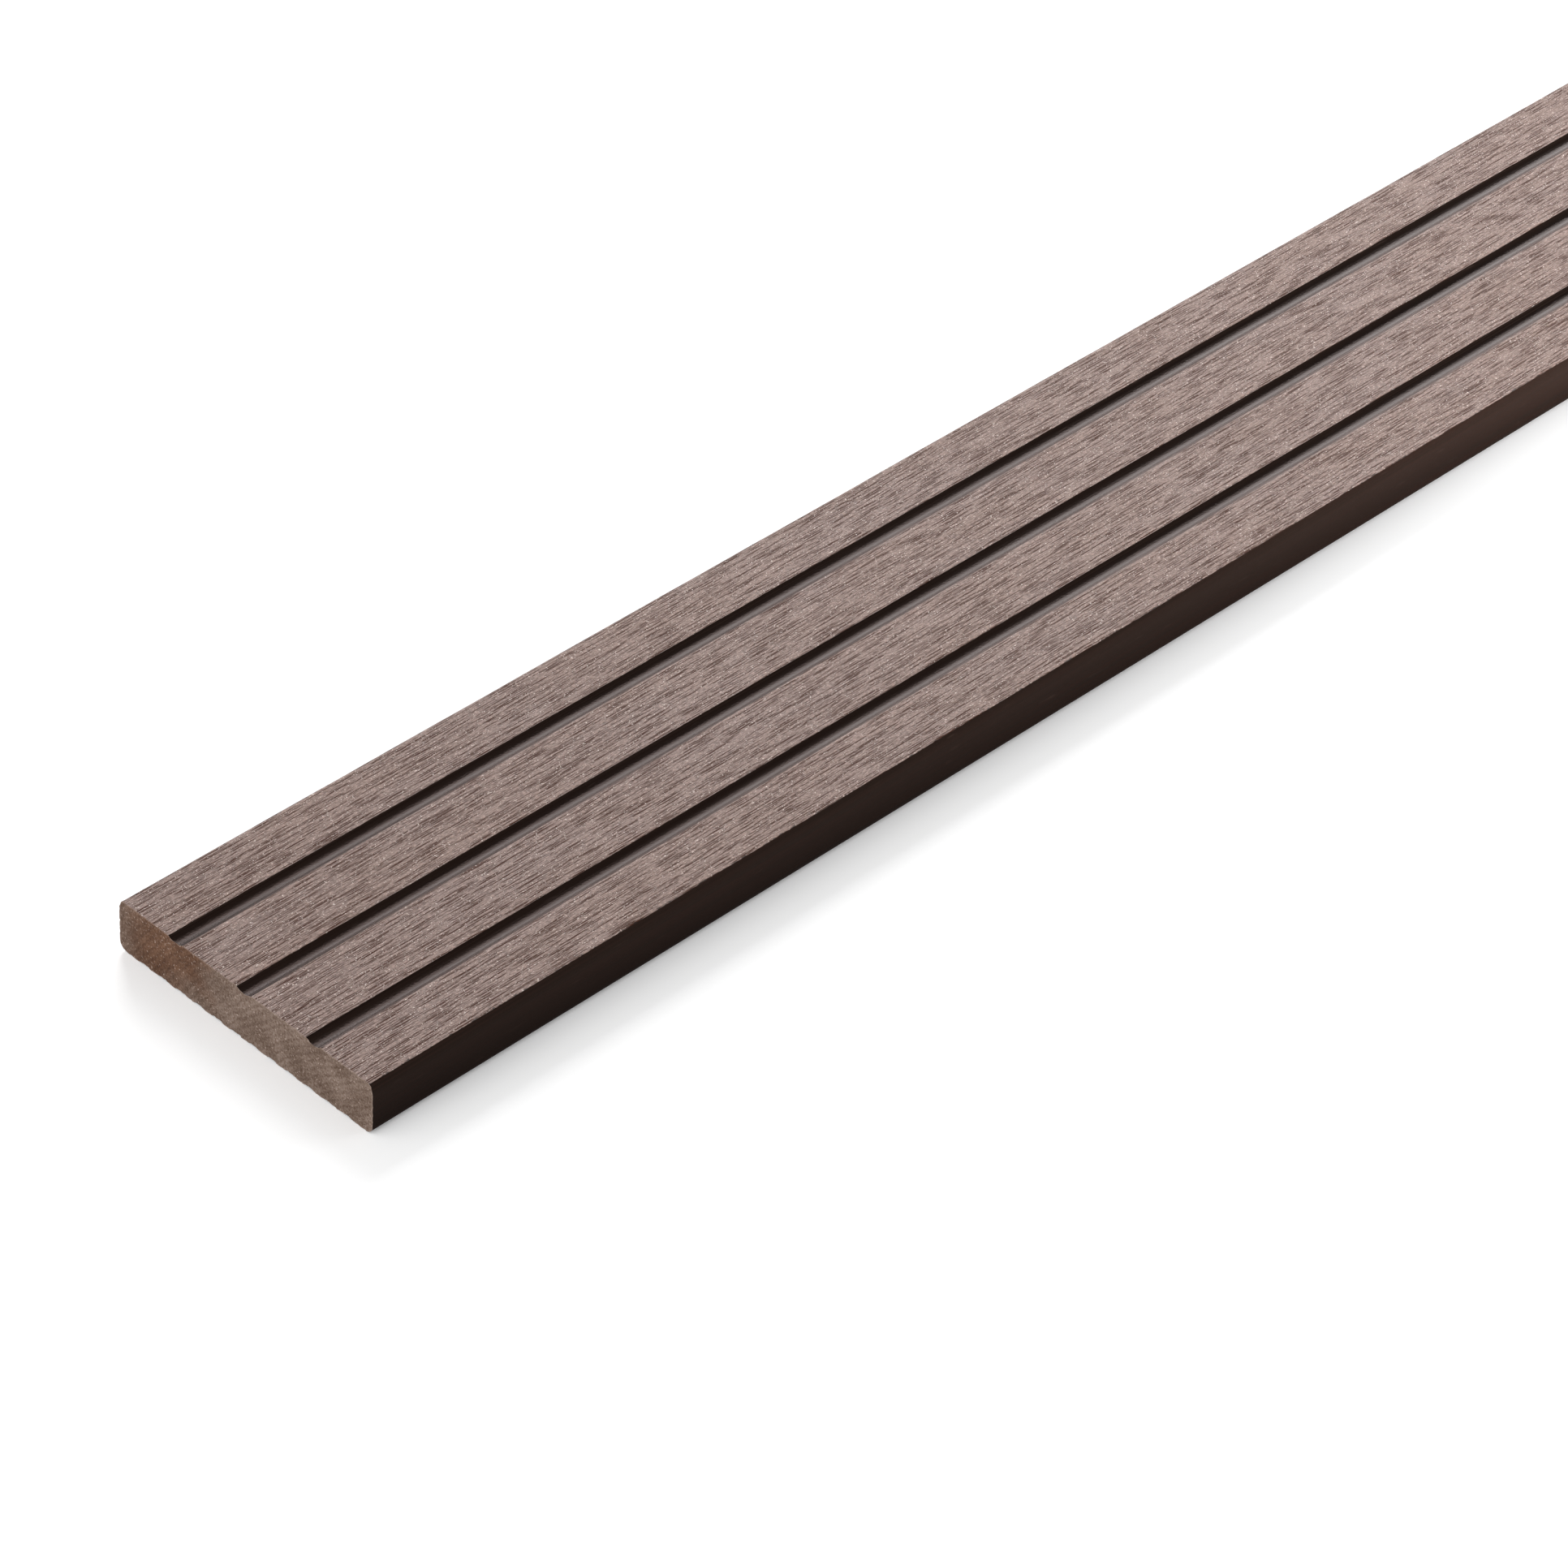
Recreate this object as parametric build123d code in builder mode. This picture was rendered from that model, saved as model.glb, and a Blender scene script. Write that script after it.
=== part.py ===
import os

from build123d import *

os.makedirs("parts", exist_ok=True)

# Wood-plastic cover strip: one solid extruded section, sawn square at both ends.
# It lies on its ribbed back with the grooved face up. X runs along the strip, Y across it,
# and the origin is on the floor under the middle of the strip.
strip_length = 2000.0
strip_width = 70.0
strip_thickness = 12.0

# The long upper edges come out of the die rounded. Planing the face takes the top of the round
# away, which leaves a crisp arris a little in from the side.
arris_inset = 0.9
arris_drop = 2.6

# The long lower edges keep their full round.
lower_edge_radius = 2.0

# Shallow round grooves in the face: two outer ones set in from the sides, the rest spaced evenly.
groove_count = 3
groove_margin = 16.0
groove_width = 4.1
groove_depth = 0.7

# Fine flutes along the back, which leave the ribs the strip rests on.
flute_count = 12
flute_margin = 6.95
flute_width = 3.3
flute_depth = 0.3

# Spacing that follows from the width of the strip.
half_width = strip_width / 2
groove_pitch = (strip_width - 2 * groove_margin) / (groove_count - 1)
flute_pitch = (strip_width - 2 * flute_margin) / (flute_count - 1)

# A groove or flute is the part of a circle that reaches into the section: its radius comes from
# the width at the surface and the depth.
groove_radius = (groove_width**2 / 4 + groove_depth**2) / (2 * groove_depth)
flute_radius = (flute_width**2 / 4 + flute_depth**2) / (2 * flute_depth)

# Corner points of the right half of the outline, from the back upward.
back_corner = (half_width - lower_edge_radius, 0)
side_foot = (half_width, lower_edge_radius)
side_head = (half_width, strip_thickness - arris_drop)
face_arris = (half_width - arris_inset, strip_thickness)

with BuildPart() as strip:
    with BuildSketch(Plane.YZ) as section:
        with BuildLine() as outline:
            Line((-back_corner[0], 0), back_corner)
            TangentArc(back_corner, side_foot, tangent=(1, 0))
            Line(side_foot, side_head)
            TangentArc(side_head, face_arris, tangent=(0, 1))
            Line(face_arris, (-face_arris[0], strip_thickness))
            TangentArc((-half_width, side_head[1]), (-face_arris[0], strip_thickness), tangent=(0, 1))
            Line((-half_width, side_head[1]), (-half_width, lower_edge_radius))
            TangentArc((-back_corner[0], 0), (-half_width, lower_edge_radius), tangent=(-1, 0))
        make_face()

        # grooves in the face
        with Locations((0, strip_thickness - groove_depth + groove_radius)):
            with GridLocations(groove_pitch, 0, groove_count, 1):
                Circle(groove_radius, mode=Mode.SUBTRACT)

        # flutes in the back
        with Locations((0, flute_depth - flute_radius)):
            with GridLocations(flute_pitch, 0, flute_count, 1):
                Circle(flute_radius, mode=Mode.SUBTRACT)

    # the strip runs the same way to both sides of the middle
    extrude(amount=strip_length / 2, both=True)

strip.part.label = "cover_strip"
export_step(strip.part, "parts/cover_strip.step")
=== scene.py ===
import math

import bmesh
import bpy
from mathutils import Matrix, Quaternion, Vector, noise


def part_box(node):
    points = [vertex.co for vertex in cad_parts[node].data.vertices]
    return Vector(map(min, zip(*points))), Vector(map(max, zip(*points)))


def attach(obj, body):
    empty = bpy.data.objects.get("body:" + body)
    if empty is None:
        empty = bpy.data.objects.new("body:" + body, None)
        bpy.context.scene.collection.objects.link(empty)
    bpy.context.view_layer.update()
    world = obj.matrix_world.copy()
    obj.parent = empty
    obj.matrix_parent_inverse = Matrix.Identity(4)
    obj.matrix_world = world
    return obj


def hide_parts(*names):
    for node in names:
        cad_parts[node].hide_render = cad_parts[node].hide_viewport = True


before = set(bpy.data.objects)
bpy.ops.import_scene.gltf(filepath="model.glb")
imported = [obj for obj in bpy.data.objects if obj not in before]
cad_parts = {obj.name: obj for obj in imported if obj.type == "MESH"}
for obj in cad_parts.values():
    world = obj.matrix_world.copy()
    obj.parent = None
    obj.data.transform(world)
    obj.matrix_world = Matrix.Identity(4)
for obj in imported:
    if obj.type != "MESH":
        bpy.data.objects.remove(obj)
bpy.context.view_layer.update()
stripLow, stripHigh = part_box("cover_strip")
mm = 0.001  # one millimetre in Blender's metres
hair = 0.01 * mm  # less than any real size here
print("frame loaded, strip from", tuple(stripLow), "to", tuple(stripHigh))


# the strip: its section is drawn as one closed outline at the near end, then pulled to full length

stripForm = {
    "arrisInset": 0.9,  # mm, as every size here
    "arrisDrop": 2.6,
    "arrisSteps": 4,
    "lowerEdgeRadius": 2.0,
    "lowerEdgeSteps": 8,
    "grooveCount": 3,
    "grooveMargin": 16.0,
    "grooveWidth": 4.1,
    "grooveDepth": 0.7,
    "grooveSteps": 10,
    "fluteCount": 12,
    "fluteMargin": 6.95,
    "fluteWidth": 3.3,
    "fluteDepth": 0.3,
    "fluteSteps": 8,
    "faceCell": 0.35,  # width of one strip of faces on the brushed lands
    "stations": 400,  # faces along the length
    "furrowSize": (14.0, 0.8),  # along and across the strip
    "furrowFrom": 0.05,  # noise value where a furrow begins, and how much more makes it full
    "furrowSpan": 0.4,
    "furrowDepth": 0.05,
    "lipWear": 0.12,
    "lipWearSize": 4.0,
    "lipWearShares": (0.75, 0.25),  # even wear and uneven wear
    "endCell": 0.4,
    "chipReach": 1.2,  # how far in from the saw cut the back edge is chipped
    "chipBelow": 1.0,
    "chipSize": 0.8,
    "chipDepth": 0.2,
    "chipMore": 0.2,  # added to the noise, so that chips are more than gaps
    "sawPitch": 1.6,
    "sawCentre": (-105.0, -100.0),  # middle of the blade, across the strip and above the floor
    "sawWander": 0.5,
    "sawWanderSize": 6.0,
    "sawDepth": 0.05,
    "pitSize": 0.7,
    "endFray": 0.22,
    "fraySize": 0.9,
    "sharpAngle": 35.0,  # degrees
}
brushedZone, skinZone, sideZone, sawnZone = range(4)


def arcRadius(width, depth):
    return (width ** 2 / 4 + depth ** 2) / (2 * depth)


# draws on from its last point and remembers which finish each edge is for
class SectionPen:
    def __init__(self, bm, x, start):
        self.bm = bm
        self.x = x
        self.zones = {}
        self.tip = bm.verts.new((x, start[0] * mm, start[1] * mm))
        self.first = self.tip

    def line(self, point, zone, cells=1):
        reach = Vector((self.x, point[0] * mm, point[1] * mm)) - self.tip.co
        self.sweep(zone, dvec=reach / cells, steps=cells)

    def arc(self, centre, turn, steps, zone):
        self.sweep(zone, cent=(self.x, centre[0] * mm, centre[1] * mm), angle=turn, steps=steps)

    def sweep(self, zone, **settings):
        before = len(self.bm.edges)
        made = bmesh.ops.spin(self.bm, geom=[self.tip], axis=(1, 0, 0), **settings)
        self.tip = next(part for part in made["geom_last"] if isinstance(part, bmesh.types.BMVert))
        self.bm.edges.ensure_lookup_table()
        for edge in self.bm.edges[before:]:
            self.zones[edge] = zone


def drawSection(bm, form):
    half = stripHigh.y / mm
    top = stripHigh.z / mm
    radius = form["lowerEdgeRadius"]
    inset, drop = form["arrisInset"], form["arrisDrop"]
    edgeRadius = (inset ** 2 + drop ** 2) / (2 * inset)
    edgeTurn = math.asin(drop / edgeRadius)

    pen = SectionPen(bm, stripLow.x, (half - radius, 0.0))

    # the back, from the far side to the near side
    width, depth = form["fluteWidth"], form["fluteDepth"]
    curve = arcRadius(width, depth)
    turn = 2 * math.asin(width / 2 / curve)
    reach = half - form["fluteMargin"]
    for i in range(form["fluteCount"]):
        middle = reach - 2 * reach * i / (form["fluteCount"] - 1)
        pen.line((middle + width / 2, 0.0), skinZone)
        pen.arc((middle, depth - curve), turn, form["fluteSteps"], skinZone)
    pen.line((-half + radius, 0.0), skinZone)

    # near side, up to its arris
    pen.arc((-half + radius, radius), -math.pi / 2, form["lowerEdgeSteps"], sideZone)
    pen.line((-half, top - drop), sideZone)
    pen.arc((-half + edgeRadius, top - drop), -edgeTurn, form["arrisSteps"], sideZone)

    # the face, back to the far side
    width, depth = form["grooveWidth"], form["grooveDepth"]
    curve = arcRadius(width, depth)
    turn = 2 * math.asin(width / 2 / curve)
    reach = half - form["grooveMargin"]
    here = -half + inset
    for i in range(form["grooveCount"]):
        middle = -reach + 2 * reach * i / (form["grooveCount"] - 1)
        lip = middle - width / 2
        pen.line((lip, top), brushedZone, round((lip - here) / form["faceCell"]))
        pen.arc((middle, top - depth + curve), turn, form["grooveSteps"], skinZone)
        here = lip + width
    pen.line((half - inset, top), brushedZone, round((half - inset - here) / form["faceCell"]))

    # far side, down to where the outline began
    pen.arc((half - edgeRadius, top - drop), -edgeTurn, form["arrisSteps"], sideZone)
    pen.line((half, radius), sideZone)
    pen.arc((half - radius, radius), -math.pi / 2, form["lowerEdgeSteps"], sideZone)
    bmesh.ops.pointmerge(bm, verts=[pen.tip, pen.first], merge_co=pen.first.co)
    zones = {edge: zone for edge, zone in pen.zones.items() if edge.is_valid}
    for edge in bm.edges:
        zones.setdefault(edge, sideZone)  # the edge that closes the outline
    return zones


# only the brushed face, its grooves and arrises are cut into stations; the back stays in full-length faces
def pullToLength(bm, form, zones):
    made = bmesh.ops.extrude_edge_only(bm, edges=bm.edges[:])
    farRing = [part for part in made["geom"] if isinstance(part, bmesh.types.BMVert)]
    bmesh.ops.translate(bm, verts=farRing, vec=(stripHigh.x - stripLow.x, 0, 0))
    for edge, zone in zones.items():
        edge.link_faces[0].material_index = zone
    low = stripHigh.z - form["arrisDrop"] * mm - hair
    longEdges = [e for e in bm.edges
                 if abs(e.verts[0].co.x - e.verts[1].co.x) > mm and e.verts[0].co.z > low]
    bmesh.ops.subdivide_edges(bm, edges=longEdges, cuts=form["stations"] - 1, use_grid_fill=True)
    sides = [f for f in bm.faces if len(f.verts) > 4]
    bmesh.ops.triangulate(bm, faces=sides, ngon_method="BEAUTY")
    reach = form["chipReach"] * mm
    for x in (stripLow.x + reach, stripHigh.x - reach):
        bmesh.ops.bisect_plane(bm, geom=bm.verts[:] + bm.edges[:] + bm.faces[:], dist=hair,
                               plane_co=(x, 0, 0), plane_no=(1, 0, 0))


# both ends are closed and cut into a grid fine enough to carry the saw marks
def closeEnds(bm, form):
    caps = bmesh.ops.holes_fill(bm, edges=bm.edges[:], sides=0)["faces"]
    for cap in caps:
        cap.material_index = sawnZone
    cell = form["endCell"] * mm
    columns = round((stripHigh.y - stripLow.y) / cell)
    rows = round(stripHigh.z / cell)
    cuts = [Vector((0, stripLow.y + cell * i, 0)) for i in range(1, columns)]
    cuts += [Vector((0, 0, cell * i)) for i in range(1, rows)]
    for cut in cuts:
        faces = [f for f in bm.faces if f.material_index == sawnZone]
        # each edge and corner once, always in the same order
        edges = dict.fromkeys(e for f in faces for e in f.edges)
        verts = dict.fromkeys(v for f in faces for v in f.verts)
        across = Vector((0, 1, 0)) if cut.y else Vector((0, 0, 1))
        bmesh.ops.bisect_plane(bm, geom=[*faces, *edges, *verts], dist=3 * hair, plane_co=cut,
                               plane_no=across)


# brush and saw leave furrows, worn lips, saw marks and frayed rims, always into the material; the fixed
# numbers in a noise place only keep the patterns and the two ends apart
def wearStrip(bm, form):
    furrowLayer = bm.verts.layers.float.new("furrow")
    rimLayer = bm.verts.layers.float.new("rim")
    long, wide = form["furrowSize"]
    sawY, sawZ = form["sawCentre"]
    evenWear, unevenWear = form["lipWearShares"]
    for vert in bm.verts:
        zones = {f.material_index for f in vert.link_faces}
        x, y, z = (c / mm for c in vert.co)
        inward = 1 if x < 0 else -1
        if zones == {sawnZone}:
            size = form["sawWanderSize"]
            wander = form["sawWander"] * noise.noise((y / size, z / size, inward))
            radius = math.hypot(y - sawY, z - sawZ) + wander
            wave = 0.5 + 0.5 * math.sin(2 * math.pi * radius / form["sawPitch"])
            pit = 0.5 + 0.5 * noise.noise((y / form["pitSize"], z / form["pitSize"], 4.0 + inward))
            vert.co.x += inward * form["sawDepth"] * mm * (0.5 * wave + 0.5 * pit)
        elif sawnZone in zones:
            vert[rimLayer] = 1.0
            fray = max(0.0, noise.noise((y / form["fraySize"], z / form["fraySize"], 8.0 + inward)))
            vert.co.x += inward * form["endFray"] * mm * fray
            if z < form["chipBelow"]:
                chip = max(0.0, noise.noise((y / form["chipSize"], 2.3, 5.0 + inward)) + form["chipMore"])
                vert.co.z += form["chipDepth"] * mm * chip
        if brushedZone in zones:
            furrow = noise.noise((x / long, y / wide, 3.7))
            share = min(1.0, max(0.0, (furrow - form["furrowFrom"]) / form["furrowSpan"]))
            vert[furrowLayer] = share
            vert.co.z -= form["furrowDepth"] * mm * share
            if skinZone in zones or sideZone in zones:
                size = form["lipWearSize"]
                wear = evenWear + unevenWear * noise.noise((x / size, y / size, 6.1))
                vert.co.z -= form["lipWear"] * mm * wear


def buildStrip(form):
    bm = bmesh.new()
    zones = drawSection(bm, form)
    print("section drawn with", len(bm.verts), "points")
    pullToLength(bm, form, zones)
    print("pulled to length, faces:", len(bm.faces))
    closeEnds(bm, form)
    print("ends closed, faces:", len(bm.faces))
    bmesh.ops.recalc_face_normals(bm, faces=bm.faces[:])
    wearStrip(bm, form)
    for face in bm.faces:
        face.smooth = True
    for edge in bm.edges:
        zonesMet = {f.material_index for f in edge.link_faces}
        edge.smooth = len(zonesMet) == 1 and edge.calc_face_angle(0.0) < math.radians(form["sharpAngle"])
    return bm


# colours and nodes

def hexColour(text, alpha=1.0):
    shares = [int(text[i:i + 2], 16) / 255 for i in (1, 3, 5)]
    return tuple(s / 12.92 if s <= 0.04045 else ((s + 0.055) / 1.055) ** 2.4 for s in shares) + (alpha,)


# inputs come by name in a dictionary, or in the order of the node's sockets
def addNode(tree, kind, inputs, **settings):
    node = tree.nodes.new("ShaderNode" + kind)
    for name, value in settings.items():
        setattr(node, name, value)
    for name, value in inputs.items() if isinstance(inputs, dict) else enumerate(inputs):
        if isinstance(value, bpy.types.NodeSocket):
            tree.links.new(value, node.inputs[name])
        else:
            node.inputs[name].default_value = value
    return node.outputs


def newMaterial(name):
    material = bpy.data.materials.new(name)
    material.use_nodes = True
    material.node_tree.nodes.clear()
    return material, material.node_tree


# a finish lists its grains: mm along and across the strip, where the pattern starts, and its detail;
# and its shares: the grain, two values of the grain, and the share at each of them
def layGrains(tree, place, finish):
    grains = {}
    for name, (along, across, start, detail) in finish["grains"].items():
        stretch = (1 / (along * mm), 1 / (across * mm), 1 / (across * mm))
        mapped = addNode(tree, "Mapping", {"Vector": place, "Scale": stretch, "Location": (start,) * 3})[0]
        grains[name] = addNode(tree, "TexNoise", {"Vector": mapped, "Scale": 1.0, "Detail": detail,
                                                  "Roughness": finish["grainBreakUp"]})[0]
    shares = {}
    for name, (grain, low, high, atLow, atHigh) in finish["shares"].items():
        shares[name] = addNode(tree, "MapRange", (grains[grain], low, high, atLow, atHigh))[0]
    return grains, shares


# brushed wood-plastic composite: the planed face is wire-brushed along the strip, which leaves a dull
# grey-brown nap with straight dark scratches broken into short runs, pale fibre ends and slow patches
# of warmer and greyer mix
brushedFace = {
    "paleFibre": "#a08880",
    "darkFibre": "#49362d",
    "greyPatch": "#7a665f",
    "warmPatch": "#7a6052",
    "furrow": "#3e2012",
    "fibreEnd": "#e0d2c9",
    "lipShade": "#3a2d27",
    "chipShade": "#2a1d17",
    "grains": {
        "fibre": (0.9, 0.25, 0.0, 2.0),
        "scratchRun": (4.6, 0.3, 12.4, 1.0),
        "nick": (14.0, 0.23, 15.1, 0.0),
        "nickRun": (2.8, 0.22, 27.9, 1.0),
        "fibreEnd": (0.34, 0.28, 31.7, 1.0),
        "patch": (34.0, 8.0, 43.9, 2.0),
        "ragged": (1.6, 1.6, 19.3, 2.0),
        "chip": (0.9, 0.9, 37.1, 1.0),
    },
    "grainBreakUp": 0.6,
    "shares": {
        "fibre": ("fibre", 0.33, 0.67, 0.0, 1.0),
        "roughness": ("fibre", 0.3, 0.7, 0.52, 0.7),
        "scratchUneven": ("scratchRun", 0.3, 0.7, -0.12, 0.12),
        "nick": ("nick", 0.535, 0.61, 0.0, 0.9),
        "nickRun": ("nickRun", 0.42, 0.58, 0.0, 1.0),
        "fibreEnd": ("fibreEnd", 0.67, 0.735, 0.0, 0.95),
        "warm": ("patch", 0.35, 0.65, 0.0, 1.0),
        "ragged": ("ragged", 0.35, 0.65, 0.0, 0.35 * mm),
        "chip": ("chip", 0.5, 0.72, 0.0, 0.32 * mm),
    },
    "scratchSize": (12.0, 0.47),  # mm along and across the strip
    "scratchStart": 7.3,
    "scratchEdge": (0.18, 0.29),  # cells from the core of a scratch: full, gone
    "scratchTone": (0.2, 0.6, 0.5, 1.0),  # some scratches are only half as dark
    "patchMix": 0.3,
    "furrowMix": 0.05,
    "lipEdge": 0.05,  # mm over which the lip's shade fades
    "lipMix": 0.2,
    "chipEdge": 0.06,
    "chipMix": 0.9,
    "ior": 1.45,
    "specular": 0.5,
    "scratchDeeper": 2.0,  # times the nap
    "napDepth": 0.07,  # mm
    "napStrength": 0.8,
}


def brushedComposite(face, form):
    material, tree = newMaterial("brushedComposite")
    place = addNode(tree, "TexCoord", {})["Object"]
    _, shares = layGrains(tree, place, face)

    # long needle-shaped cells, of which only an uneven core is scratched
    along, across = face["scratchSize"]
    mapped = addNode(tree, "Mapping", {"Vector": place, "Scale": (1 / (along * mm), 1 / (across * mm), 1.0),
                                       "Location": (face["scratchStart"], face["scratchStart"], 0.0)})[0]
    needle = addNode(tree, "TexVoronoi", {"Vector": mapped, "Scale": 1.0}, voronoi_dimensions="2D")
    fromCore = addNode(tree, "Math", (needle["Distance"], shares["scratchUneven"]), operation="ADD")[0]
    inScratch = addNode(tree, "MapRange", (fromCore, *face["scratchEdge"], 1.0, 0.0))[0]
    tone = addNode(tree, "MapRange", (needle["Color"], *face["scratchTone"]))[0]
    scratch = addNode(tree, "Math", (inScratch, tone), operation="MULTIPLY")[0]
    nick = addNode(tree, "Math", (shares["nick"], shares["nickRun"]), operation="MULTIPLY")[0]
    lines = addNode(tree, "Math", (scratch, nick), operation="MAXIMUM")[0]

    # the lips of the grooves, where the brush runs out unevenly into dark skin
    half = stripHigh.y / mm
    pitch = 2 * (half - form["grooveMargin"]) / (form["grooveCount"] - 1)
    lipAt = form["grooveWidth"] / 2
    sideways = addNode(tree, "SeparateXYZ", {"Vector": place})["Y"]
    # distance from the middle of the nearest groove, one of which is on the centre line
    fromGroove = addNode(tree, "Math", (sideways, pitch / 2 * mm), operation="PINGPONG")[0]
    fromLip = addNode(tree, "Math", (fromGroove, shares["ragged"]), operation="SUBTRACT")[0]
    lipSpan = ((lipAt - face["lipEdge"]) * mm, lipAt * mm, face["lipMix"], 0.0)
    lip = addNode(tree, "MapRange", (fromLip, *lipSpan))[0]

    # small chips along the arrises show the dark skin below
    arrisAt = half - form["arrisInset"]
    outward = addNode(tree, "Math", (sideways, 0.0), operation="ABSOLUTE")[0]
    chipped = addNode(tree, "Math", (outward, shares["chip"]), operation="ADD")[0]
    chipSpan = (arrisAt * mm, (arrisAt + face["chipEdge"]) * mm, 0.0, face["chipMix"])
    chip = addNode(tree, "MapRange", (chipped, *chipSpan))[0]

    darkFibre, paleFibre = hexColour(face["darkFibre"]), hexColour(face["paleFibre"])
    nap = addNode(tree, "MixRGB", (shares["fibre"], darkFibre, paleFibre))[0]
    greyPatch, warmPatch = hexColour(face["greyPatch"]), hexColour(face["warmPatch"])
    patches = addNode(tree, "MixRGB", (shares["warm"], greyPatch, warmPatch))[0]
    furrowed = addNode(tree, "Attribute", {}, attribute_name="furrow")["Fac"]
    furrow = addNode(tree, "Math", (furrowed, face["furrowMix"]), operation="MULTIPLY")[0]
    colour = addNode(tree, "MixRGB", (face["patchMix"], nap, patches))[0]
    for share, tint in ((lines, "furrow"), (furrow, "furrow"), (shares["fibreEnd"], "fibreEnd"),
                        (lip, "lipShade"), (chip, "chipShade")):
        colour = addNode(tree, "MixRGB", (share, colour, hexColour(face[tint])))[0]

    # no light glints out of a scratch
    gloss = addNode(tree, "MixRGB", (lines, hexColour("#ffffff"), hexColour("#000000")))[0]
    depth = addNode(tree, "Math", (lines, face["scratchDeeper"]), operation="MULTIPLY")[0]
    height = addNode(tree, "Math", (shares["fibre"], depth), operation="SUBTRACT")[0]
    relief = addNode(tree, "Bump", {"Height": height, "Distance": face["napDepth"] * mm,
                                    "Strength": face["napStrength"]})[0]
    shader = addNode(tree, "BsdfPrincipled", {"Base Color": colour, "Roughness": shares["roughness"],
                                              "IOR": face["ior"], "Specular IOR Level": face["specular"],
                                              "Specular Tint": gloss, "Normal": relief})[0]
    addNode(tree, "OutputMaterial", {"Surface": shader})
    return material


# die-smooth composite skin: where no brush reaches, the plastic-rich skin from the die stays almost
# black-brown with a low waxy sheen, faint drawn lines along the strip and a few pale scuffs; its colour
# is painted darker towards the back and the floor, a painted shade where less light reaches
dieSkin = {
    "name": "dieSmoothComposite",
    "skin": "#150e0b",
    "drawnLine": "#1b130f",
    "scuff": "#4a3d37",
    # painted shade: the tint that darkens the skin towards the floor
    "paintedFootShade": "#bab1ac",
    "paintedShadeSpan": (1.5, 11.0),  # mm above the floor
    "grains": {
        "line": (120.0, 0.5, 3.1, 3.0),
        "scuff": (9.0, 1.1, 11.7, 2.0),
        "speckle": (0.4, 0.3, 17.9, 1.0),
    },
    "grainBreakUp": 0.5,
    "shares": {
        "line": ("line", 0.35, 0.65, 0.0, 1.0),
        "roughness": ("line", 0.35, 0.65, 0.2, 0.28),
        "scuff": ("scuff", 0.66, 0.8, 0.0, 0.3),
    },
    "ior": 1.45,
    "sheen": 0.096,
    "sheenTint": (1.0, 0.5, 0.4, 1.0),
    "speckleHigher": 7.0,  # times the drawn lines
    "lineDepth": 0.012,  # mm
    "lineStrength": 0.5,
}

# rubbed composite skin: handling takes the wax off the sides, so they are the same skin without its sheen;
# its colours are painted a little lighter than the groove skin's, painted light for the light on the sides
sideSkinPaintedLighter = {
    **dieSkin,
    "name": "rubbedComposite",
    # painted light: lighter than the groove skin to stand in for the light that falls on the sides
    "skin": "#1d1511",
    "drawnLine": "#241915",
    "scuff": "#40332d",
    "shares": {**dieSkin["shares"], "roughness": ("line", 0.35, 0.65, 0.55, 0.65)},
    "sheen": 0.036,
    "sheenTint": (1.0, 0.78, 0.7, 1.0),
}


def dieSmoothComposite(skin):
    material, tree = newMaterial(skin["name"])
    place = addNode(tree, "TexCoord", {})["Object"]
    grains, shares = layGrains(tree, place, skin)
    skinColour, lineColour = hexColour(skin["skin"]), hexColour(skin["drawnLine"])
    lined = addNode(tree, "MixRGB", (shares["line"], skinColour, lineColour))[0]
    scuffed = addNode(tree, "MixRGB", (shares["scuff"], lined, hexColour(skin["scuff"])))[0]
    # painted shade: the skin is multiplied darker towards the floor, where less light reaches its lower
    # part
    bottom, top = (z * mm for z in skin["paintedShadeSpan"])
    rise = addNode(tree, "SeparateXYZ", {"Vector": place})["Z"]
    paintedFootShade = addNode(tree, "MapRange", (rise, bottom, top, 1.0, 0.0))[0]
    colour = addNode(tree, "MixRGB", (paintedFootShade, scuffed, hexColour(skin["paintedFootShade"])), blend_type="MULTIPLY")[0]
    height = addNode(tree, "Math", (grains["speckle"], skin["speckleHigher"], shares["line"]),
                     operation="MULTIPLY_ADD")[0]
    relief = addNode(tree, "Bump", {"Height": height, "Distance": skin["lineDepth"] * mm,
                                    "Strength": skin["lineStrength"]})[0]
    shader = addNode(tree, "BsdfPrincipled", {"Base Color": colour, "Roughness": shares["roughness"],
                                              "IOR": skin["ior"], "Specular IOR Level": skin["sheen"],
                                              "Specular Tint": skin["sheenTint"], "Normal": relief})[0]
    addNode(tree, "OutputMaterial", {"Surface": shader})
    return material


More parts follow.
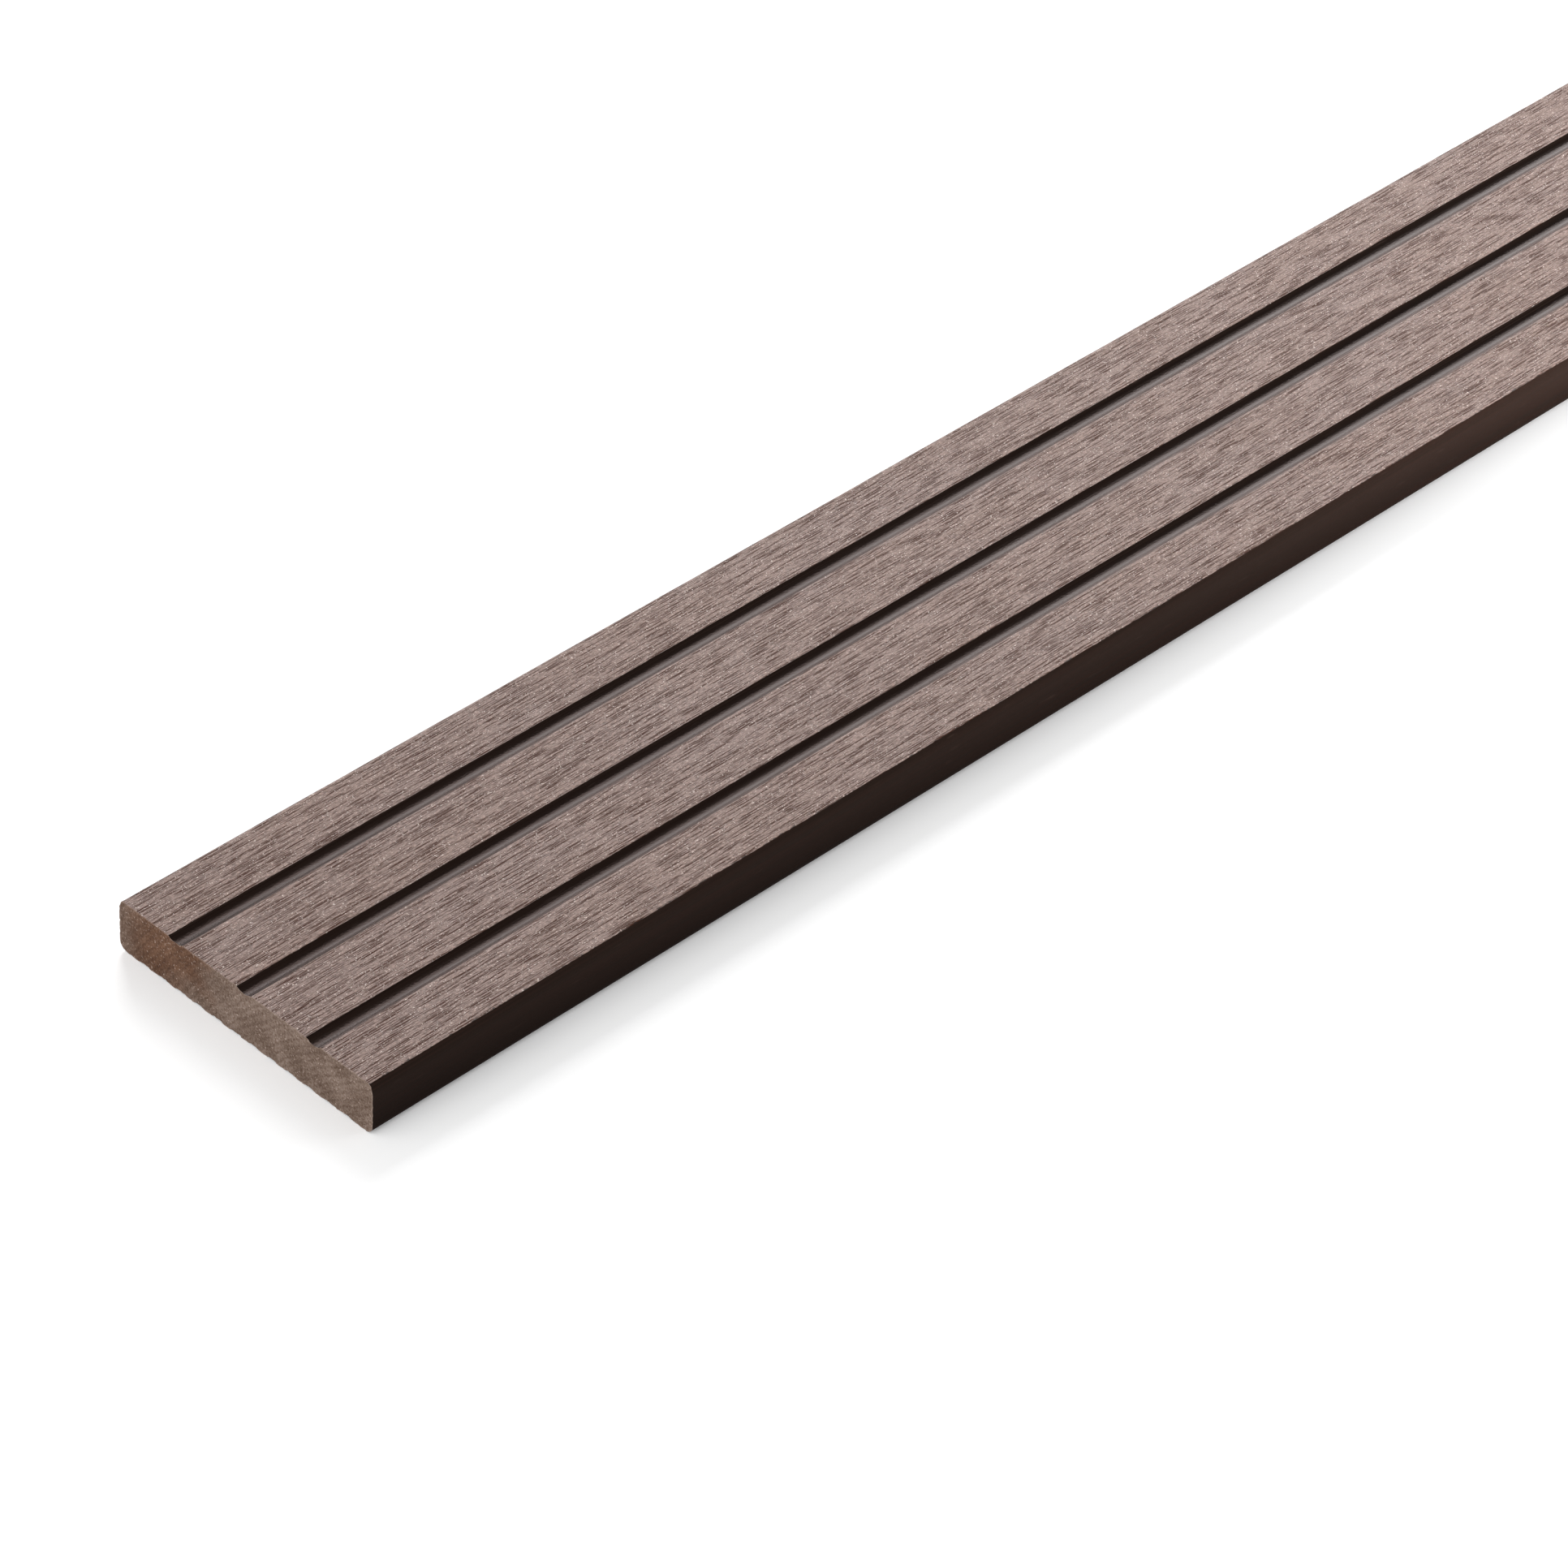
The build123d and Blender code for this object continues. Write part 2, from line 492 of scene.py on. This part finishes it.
# sawn composite: the saw opens the wood flour and plastic mix, so the ends are dull and speckled,
# greyer where the mix is dry, with a warm brown blotch near one side and faint arcs from the blade
sawnCut = {
    "grey": "#7d6d63",
    "brown": "#684a36",
    "mottle": "#d6cfc9",
    "pit": "#cdc0b6",
    "crumb": "#c4b0a4",
    "grains": {
        "pit": (0.5, 0.5, 1.9, 3.0),
        "crumb": (0.4, 0.4, 23.3, 1.0),
        "mottle": (5.5, 5.5, 9.1, 2.0),
        "blotch": (8.0, 8.0, 5.7, 4.0),
    },
    "grainBreakUp": 0.5,
    "shares": {
        "wander": ("blotch", 0.3, 0.7, -7.0 * mm, 7.0 * mm),
        "mottle": ("mottle", 0.35, 0.65, 1.0, 0.0),
        "pit": ("pit", 0.36, 0.6, 1.0, 0.0),
        "crumb": ("crumb", 0.64, 0.78, 0.0, 0.5),
    },
    "brownEdges": (7.0, 19.0, 26.0, 35.0),  # mm from the middle: starts, full, fading, nearly gone
    "brownMix": 0.9,
    "brownLeft": 0.25,  # share of the brown that stays at the side
    "brownLean": 0.9,  # the inner edge of the brown leans out towards the back
    "outerWander": 0.3,
    "arcSpan": (0.0, 0.6, 0.55, 0.0),
    "arcTremble": (4.0, 2.0, 0.6),  # distortion of the arcs, its detail and its scale
    "rimMix": 0.22,
    "ior": 1.45,
    "roughness": 0.85,
    "specular": 0.25,
    "markDepth": 0.03,  # mm
    "markStrength": 0.7,
}


def sawnComposite(cut, form):
    material, tree = newMaterial("sawnComposite")
    place = addNode(tree, "TexCoord", {})["Object"]
    grains, shares = layGrains(tree, place, cut)

    # the brown blotch, between an inner edge that leans and an outer edge near the side
    spot = addNode(tree, "SeparateXYZ", {"Vector": place})
    starts, full, fading, gone = (e * mm for e in cut["brownEdges"])
    rise = addNode(tree, "Math", (spot["Z"], stripHigh.z / 2), operation="SUBTRACT")[0]
    lean = addNode(tree, "Math", (rise, cut["brownLean"]), operation="MULTIPLY")[0]
    leaning = addNode(tree, "Math", (spot["Y"], lean), operation="ADD")[0]
    inner = addNode(tree, "Math", (leaning, shares["wander"]), operation="ADD")[0]
    fromInner = addNode(tree, "MapRange", (inner, starts, full, 0.0, cut["brownMix"]))[0]
    wander = addNode(tree, "Math", (shares["wander"], cut["outerWander"]), operation="MULTIPLY")[0]
    outer = addNode(tree, "Math", (spot["Y"], wander), operation="ADD")[0]
    fromOuter = addNode(tree, "MapRange", (outer, fading, gone, 1.0, cut["brownLeft"]))[0]
    brown = addNode(tree, "Math", (fromInner, fromOuter), operation="MULTIPLY")[0]

    # faint arcs about the middle of the blade
    sawY, sawZ = form["sawCentre"]
    bladePlace = addNode(tree, "Mapping", {"Vector": place, "Location": (0.0, -sawY * mm, -sawZ * mm)})[0]
    distortion, detail, detailScale = cut["arcTremble"]
    ringScale = math.pi / 10 / (form["sawPitch"] * mm)  # the node turns 20 radians in one unit
    arcs = addNode(tree, "TexWave", {"Vector": bladePlace, "Scale": ringScale, "Distortion": distortion,
                                     "Detail": detail, "Detail Scale": detailScale},
                   wave_type="RINGS", rings_direction="X")["Fac"]
    arcShare = addNode(tree, "MapRange", (arcs, *cut["arcSpan"]))[0]

    rim = addNode(tree, "Attribute", {}, attribute_name="rim")["Fac"]
    rimShare = addNode(tree, "Math", (rim, cut["rimMix"]), operation="MULTIPLY")[0]
    colour = hexColour(cut["grey"])
    for share, tint, how in ((brown, "brown", "MIX"), (shares["mottle"], "mottle", "MULTIPLY"),
                             (arcShare, "mottle", "MULTIPLY"), (shares["pit"], "pit", "MULTIPLY"),
                             (shares["crumb"], "crumb", "MIX"), (rimShare, "crumb", "MIX")):
        colour = addNode(tree, "MixRGB", (share, colour, hexColour(cut[tint])), blend_type=how)[0]

    height = addNode(tree, "Math", (arcs, grains["pit"]), operation="ADD")[0]
    relief = addNode(tree, "Bump", {"Height": height, "Distance": cut["markDepth"] * mm,
                                    "Strength": cut["markStrength"]})[0]
    shader = addNode(tree, "BsdfPrincipled", {"Base Color": colour, "Roughness": cut["roughness"],
                                              "IOR": cut["ior"], "Specular IOR Level": cut["specular"],
                                              "Normal": relief})[0]
    addNode(tree, "OutputMaterial", {"Surface": shader})
    return material


stripMesh = bpy.data.meshes.new("coverStrip")
stripBm = buildStrip(stripForm)
stripBm.to_mesh(stripMesh)
stripBm.free()
strip = bpy.data.objects.new("coverStrip", stripMesh)
bpy.context.scene.collection.objects.link(strip)
# in the order of the zones
for finish in (brushedComposite(brushedFace, stripForm), dieSmoothComposite(dieSkin),
               dieSmoothComposite(sideSkinPaintedLighter), sawnComposite(sawnCut, stripForm)):
    stripMesh.materials.append(finish)
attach(strip, "root")
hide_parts("cover_strip")
print("strip made, triangles:", sum(len(p.vertices) - 2 for p in stripMesh.polygons))


# floor, light and camera: a broad panel with a dimmer skirt stands behind the strip and shines to both
# sides, and two small cards fill the shadows by the near side and near end without a reflection

studio = {
    "floorHalf": 30.0,  # metres
    "floorGap": 0.03,  # mm under the ribs
    "floorColour": "#f2f2f2",
    "floorGlow": 0.155,  # the table is lit from below
    "floorRoughness": 0.9,
    "floorSpecular": 0.1,
    "keyFrom": (-0.68, 0.10, 0.72),  # a direction
    "keyPower": 1.3,
    "keyAngle": 70.0,  # degrees
    "panels": {  # metres and watts
        "backPanel": {"place": (0.55, 1.0, 0.835), "faces": (0.0, -1.0, 0.0), "size": (2.0, 1.13),
                      "power": 55.0},
        "panelRear": {"place": (0.55, 1.0, 0.835), "faces": (0.0, 1.0, 0.0), "size": (2.0, 1.13),
                      "power": 55.0},
        "panelSkirt": {"place": (0.55, 1.0, 0.145), "faces": (0.0, -1.0, 0.0), "size": (2.0, 0.25),
                       "power": 6.0, "colour": "#ffdcd2"},
        "sideCard": {"place": (-0.52, -0.25, 0.03), "faces": (-0.35, 1.0, -0.1), "size": (0.26, 0.05),
                     "power": 2.6, "mirrored": False},
        "endCard": {"place": (-1.25, -0.05, 0.1), "faces": (1.0, 0.1, -0.4), "size": (0.15, 0.1),
                    "power": 0.24, "mirrored": False},
    },
    "fill": "#ffffff",
    "fillPower": 0.45,
}


# matte paper: a plain white sheet without sheen, lit a little from below
def paperFloor(setup):
    material, tree = newMaterial("mattePaper")
    paper = hexColour(setup["floorColour"])
    shader = addNode(tree, "BsdfPrincipled", {"Base Color": paper, "Roughness": setup["floorRoughness"],
                                              "Specular IOR Level": setup["floorSpecular"],
                                              "Emission Color": paper,
                                              "Emission Strength": setup["floorGlow"]})[0]
    addNode(tree, "OutputMaterial", {"Surface": shader})
    bm = bmesh.new()
    bmesh.ops.create_grid(bm, x_segments=1, y_segments=1, size=setup["floorHalf"])
    bmesh.ops.translate(bm, verts=bm.verts[:], vec=(0, 0, -setup["floorGap"] * mm))
    mesh = bpy.data.meshes.new("floor")
    bm.to_mesh(mesh)
    bm.free()
    mesh.materials.append(material)
    floor = bpy.data.objects.new("floor", mesh)
    bpy.context.scene.collection.objects.link(floor)


def softSun(name, comesFrom, power, angle):
    light = bpy.data.lights.new(name, "SUN")
    light.energy = power
    light.angle = math.radians(angle)
    lamp = bpy.data.objects.new(name, light)
    lamp.rotation_euler = Vector(comesFrom).to_track_quat("Z", "Y").to_euler()
    bpy.context.scene.collection.objects.link(lamp)


def litPanel(name, place, faces, size, power, colour="#ffffff", mirrored=True):
    light = bpy.data.lights.new(name, "AREA")
    light.shape = "RECTANGLE"
    light.size, light.size_y = size
    light.energy = power
    light.color = hexColour(colour)[:3]
    lamp = bpy.data.objects.new(name, light)
    lamp.location = place
    lamp.rotation_euler = Vector(faces).to_track_quat("-Z", "Y").to_euler()
    lamp.visible_camera = False
    lamp.visible_glossy = mirrored
    bpy.context.scene.collection.objects.link(lamp)


paperFloor(studio)
softSun("keyLight", studio["keyFrom"], studio["keyPower"], studio["keyAngle"])
for panelName, panel in studio["panels"].items():
    litPanel(panelName, **panel)
world = bpy.data.worlds.new("studioFill")
world.use_nodes = True
world.node_tree.nodes["Background"].inputs["Color"].default_value = hexColour(studio["fill"])
world.node_tree.nodes["Background"].inputs["Strength"].default_value = studio["fillPower"]
bpy.context.scene.world = world
bpy.context.scene.view_settings.view_transform = "Standard"

view = {
    "lens": 141.26,  # mm
    "frameWidth": 36.0,
    "fromNearEnd": (-552.93, -642.75, 754.82),  # mm from the middle of the near end's lower edge
    "heading": 42.783,  # degrees from the strip's length towards its far side
    "pitch": 39.187,
    "roll": 3.378,
}

heading, pitch = math.radians(view["heading"]), math.radians(view["pitch"])
level = math.cos(pitch)
lookAlong = Vector((level * math.cos(heading), level * math.sin(heading), -math.sin(pitch)))
cameraData = bpy.data.cameras.new("camera")
cameraData.lens = view["lens"]
cameraData.sensor_width = view["frameWidth"]
camera = bpy.data.objects.new("camera", cameraData)
camera.location = Vector((stripLow.x, 0, 0)) + Vector(view["fromNearEnd"]) * mm
turned = lookAlong.to_track_quat("-Z", "Y") @ Quaternion((0, 0, 1), math.radians(view["roll"]))
camera.rotation_euler = turned.to_euler()
bpy.context.scene.collection.objects.link(camera)
bpy.context.scene.camera = camera
print("studio and camera set")
